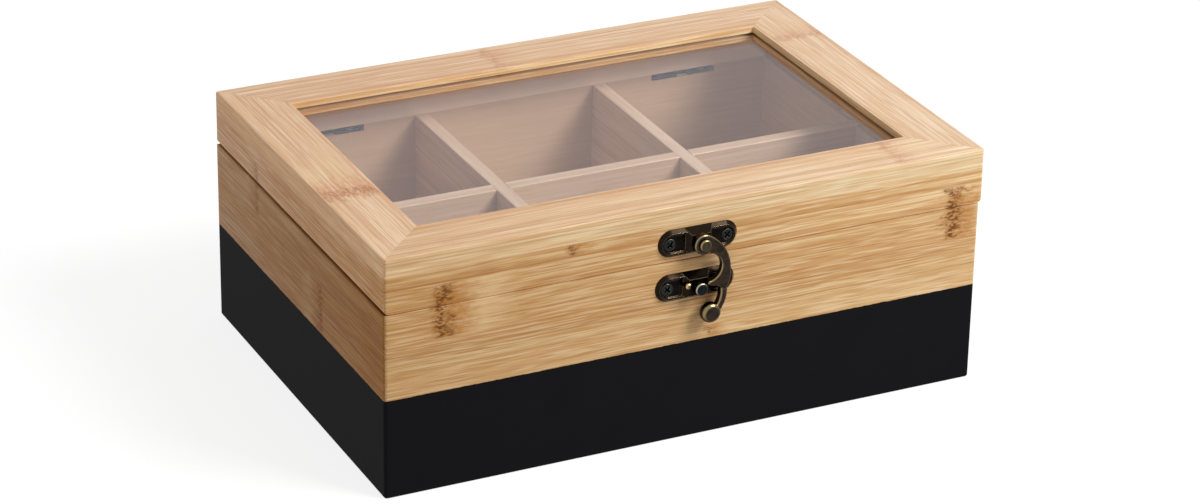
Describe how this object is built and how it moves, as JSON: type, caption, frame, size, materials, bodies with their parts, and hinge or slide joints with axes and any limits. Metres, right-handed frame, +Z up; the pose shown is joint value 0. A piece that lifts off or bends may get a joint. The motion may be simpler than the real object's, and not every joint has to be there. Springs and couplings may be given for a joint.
{
  "type": "tea bag box",
  "caption": "Rectangular lidded tea bag box with open compartments, a glass window in the hinged lid and a swinging hook latch on the front.",
  "frame": {"origin": "middle of the underside of the box", "axes": "+X along the front to the right, +Y from front to back, +Z up"},
  "size_m": [0.2312, 0.1651, 0.0899],
  "materials": {
    "painted_bamboo": "satin bamboo board above, with matt black paint on its lower part",
    "bamboo": "satin lacquered bamboo",
    "window_glass": "clear, polished",
    "hinge_steel": "zinc plated",
    "latch_bronze": "antique bronze plating, worn bright at the edges"
  },
  "bodies": {
    "box": {"front_wall": "painted_bamboo", "back_wall": "painted_bamboo", "left_wall": "painted_bamboo", "right_wall": "painted_bamboo", "base_panel": "bamboo", "long_divider": "bamboo", "cross_divider_left": "bamboo", "cross_divider_right": "bamboo", "hinge_left_box_leaf": "hinge_steel", "hinge_right_box_leaf": "hinge_steel", "hinge_left_pin": "hinge_steel", "hinge_right_pin": "hinge_steel", "box_hinge_screws": "hinge_steel", "catch_plate": "latch_bronze", "catch_stud": "latch_bronze", "catch_peg": "latch_bronze", "catch_plate_screws": "latch_bronze"},
    "lid": {"lid_front_frame": "bamboo", "lid_back_frame": "bamboo", "lid_left_frame": "bamboo", "lid_right_frame": "bamboo", "lid_front_skirt": "bamboo", "lid_back_skirt": "bamboo", "lid_left_skirt": "bamboo", "lid_right_skirt": "bamboo", "glass_pane": "window_glass", "hinge_left_lid_leaf": "hinge_steel", "hinge_right_lid_leaf": "hinge_steel", "lid_hinge_screws": "hinge_steel", "latch_plate": "latch_bronze", "latch_plate_screws": "latch_bronze", "pivot_rivet": "latch_bronze"},
    "hook": {"latch_hook": "latch_bronze"}
  },
  "joints": [
    {"name": "lid_hinge", "type": "hinge", "parent": "box", "child": "lid", "pos_m": [0, 0.0778, 0.0679], "axis": [-1, 0, 0], "range_deg": [0, 105]},
    {"name": "hook_pivot", "type": "hinge", "parent": "lid", "child": "hook", "pos_m": [0.0021, -0.0825, 0.0762], "axis": [0, -1, 0], "range_deg": [0, 100]}
  ]
}
